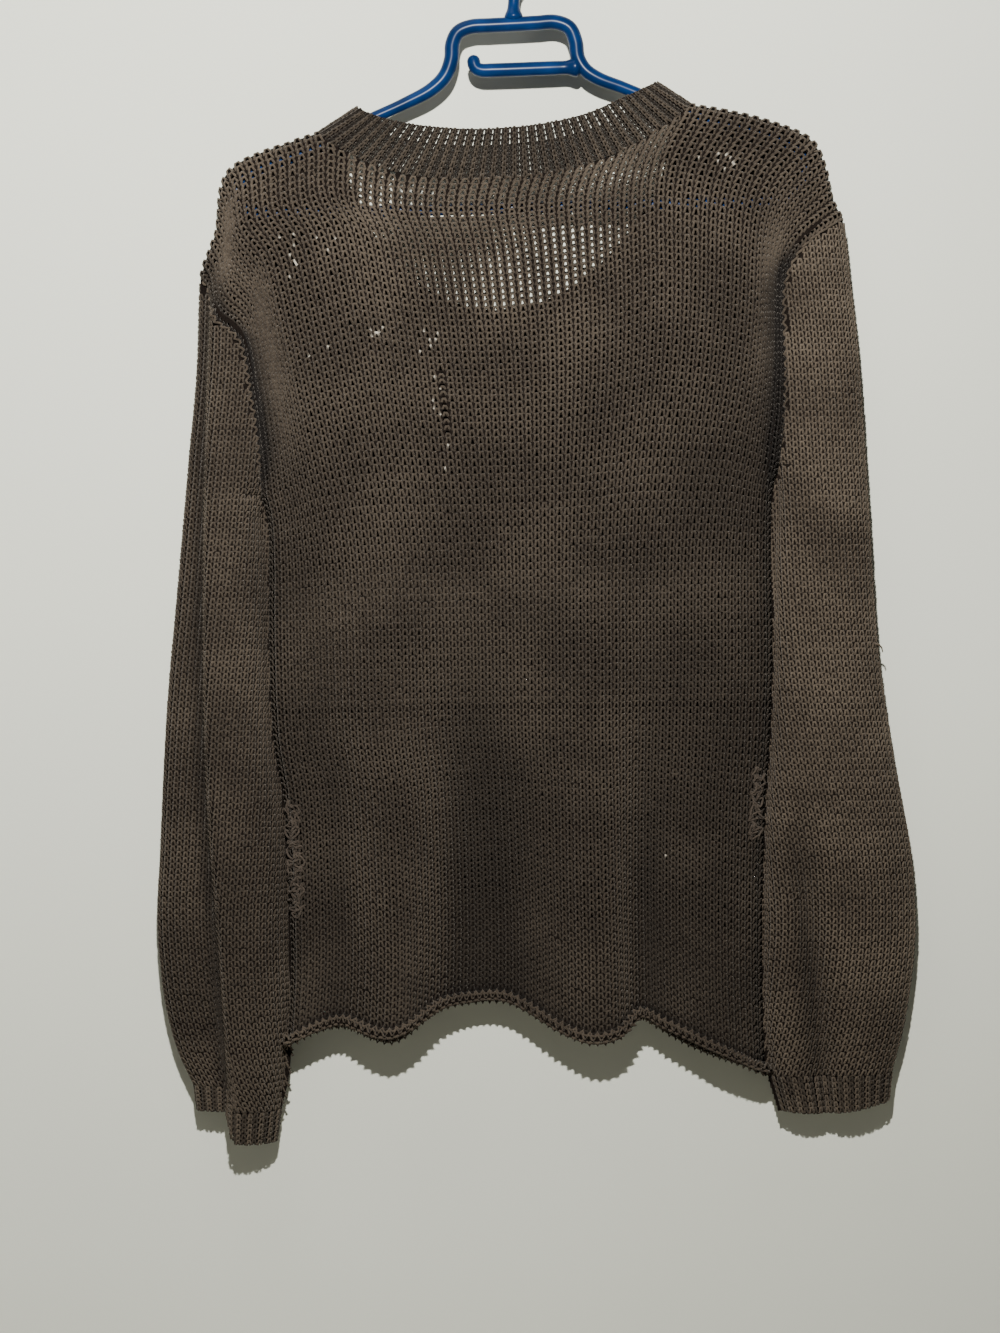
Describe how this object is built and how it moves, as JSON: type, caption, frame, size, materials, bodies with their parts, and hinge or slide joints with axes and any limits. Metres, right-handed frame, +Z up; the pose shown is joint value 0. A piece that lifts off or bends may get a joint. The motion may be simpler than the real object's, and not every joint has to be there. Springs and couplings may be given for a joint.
{
  "type": "knitted sweater on a plastic hanger",
  "caption": "Brown open-gauge knitted pullover with long full sleeves, ribbed neckband and cuffs and a rolled hem, hung back side forward on a blue tubular plastic hanger.",
  "frame": {"origin": "inside the top of the hanger's hook, on its middle line, where a nail, peg or rod carries it", "axes": "+Z up, +X to the right seen from the garment's back, -Y the way the garment's back faces; the hanger lies in the plane Y = 0"},
  "size_m": [0.5233, 0.0461, 0.8498],
  "materials": {
    "stockinette_knit": "dark brown open stockinette in a soft two-ply yarn, worn thin in places",
    "rib_knit": "dark brown one-and-one rib in the same yarn",
    "hanger_plastic": "glossy blue moulded plastic, finely ridged on the arms"
  },
  "bodies": {
    "root": {"back_panel": "stockinette_knit", "front_panel": "stockinette_knit", "left_sleeve": "stockinette_knit", "right_sleeve": "stockinette_knit", "neckband": "rib_knit", "left_cuff": "rib_knit", "right_cuff": "rib_knit", "hanger_hook": "hanger_plastic", "hanger_neck_frame": "hanger_plastic", "hanger_left_arm": "hanger_plastic", "hanger_right_arm": "hanger_plastic", "hanger_trouser_bar": "hanger_plastic", "hanger_tie_bar": "hanger_plastic"}
  },
  "joints": []
}
